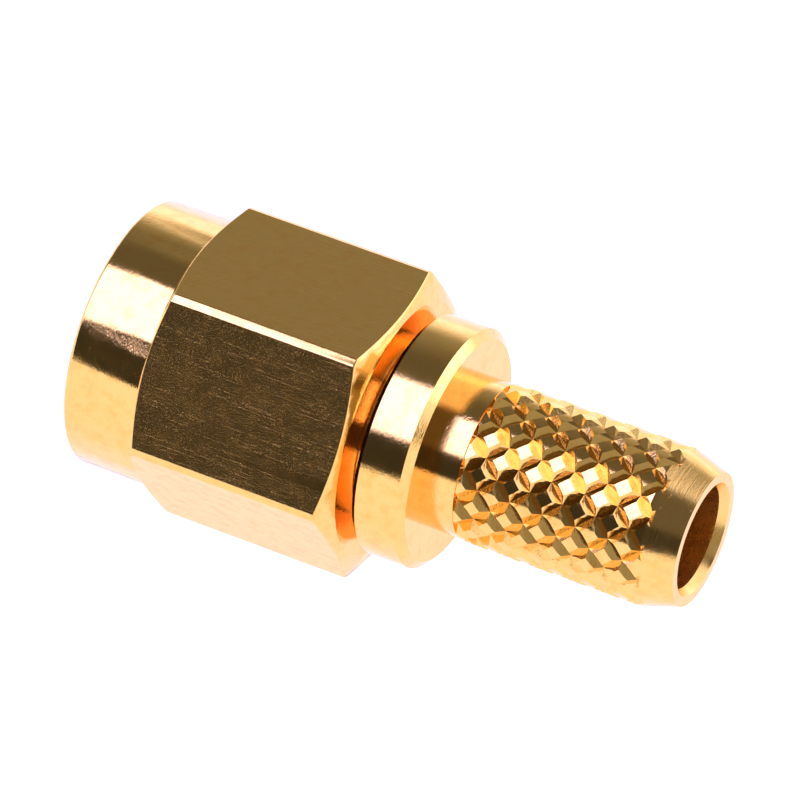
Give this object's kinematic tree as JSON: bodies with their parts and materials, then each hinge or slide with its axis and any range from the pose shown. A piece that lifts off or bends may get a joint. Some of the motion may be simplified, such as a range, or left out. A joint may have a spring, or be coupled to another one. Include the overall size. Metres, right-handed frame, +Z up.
{
  "type": "sma connector",
  "caption": "Straight coaxial plug with a free-turning hexagonal coupling nut, a flange and a knurled, tapered crimp stem that is bored for the cable.",
  "frame": {"origin": "on the connector's axis, in the contact plane, which is the front face of the outer contact", "axes": "+X along the axis from the mate towards the cable, +Z up with the nut lying on one flat of its hexagon"},
  "size_m": [0.0181, 0.0092, 0.008],
  "materials": {
    "nut_gold": "gold plated over brass, satin flats and turned collar",
    "body_gold": "gold plated over brass, polished, with a diamond knurl",
    "ring_bronze": "bare spring bronze",
    "gasket_silicone": "matte silicone rubber",
    "insulator_ptfe": "waxy white plastic",
    "contact_gold": "gold plated"
  },
  "bodies": {
    "plug": {"connector_body": "body_gold", "front_gasket": "gasket_silicone", "insulator": "insulator_ptfe", "centre_contact": "contact_gold"},
    "ring": {"retaining_ring": "ring_bronze"},
    "nut": {"coupling_nut": "nut_gold"}
  },
  "joints": [
    {"name": "ring_float", "type": "slide", "parent": "plug", "child": "ring", "axis": [1, 0, 0], "range_m": [-0.0001, 0.0001]},
    {"name": "nut_spin", "type": "hinge", "parent": "ring", "child": "nut", "pos_m": [0.0042, 0, 0], "axis": [1, 0, 0], "continuous": true}
  ]
}
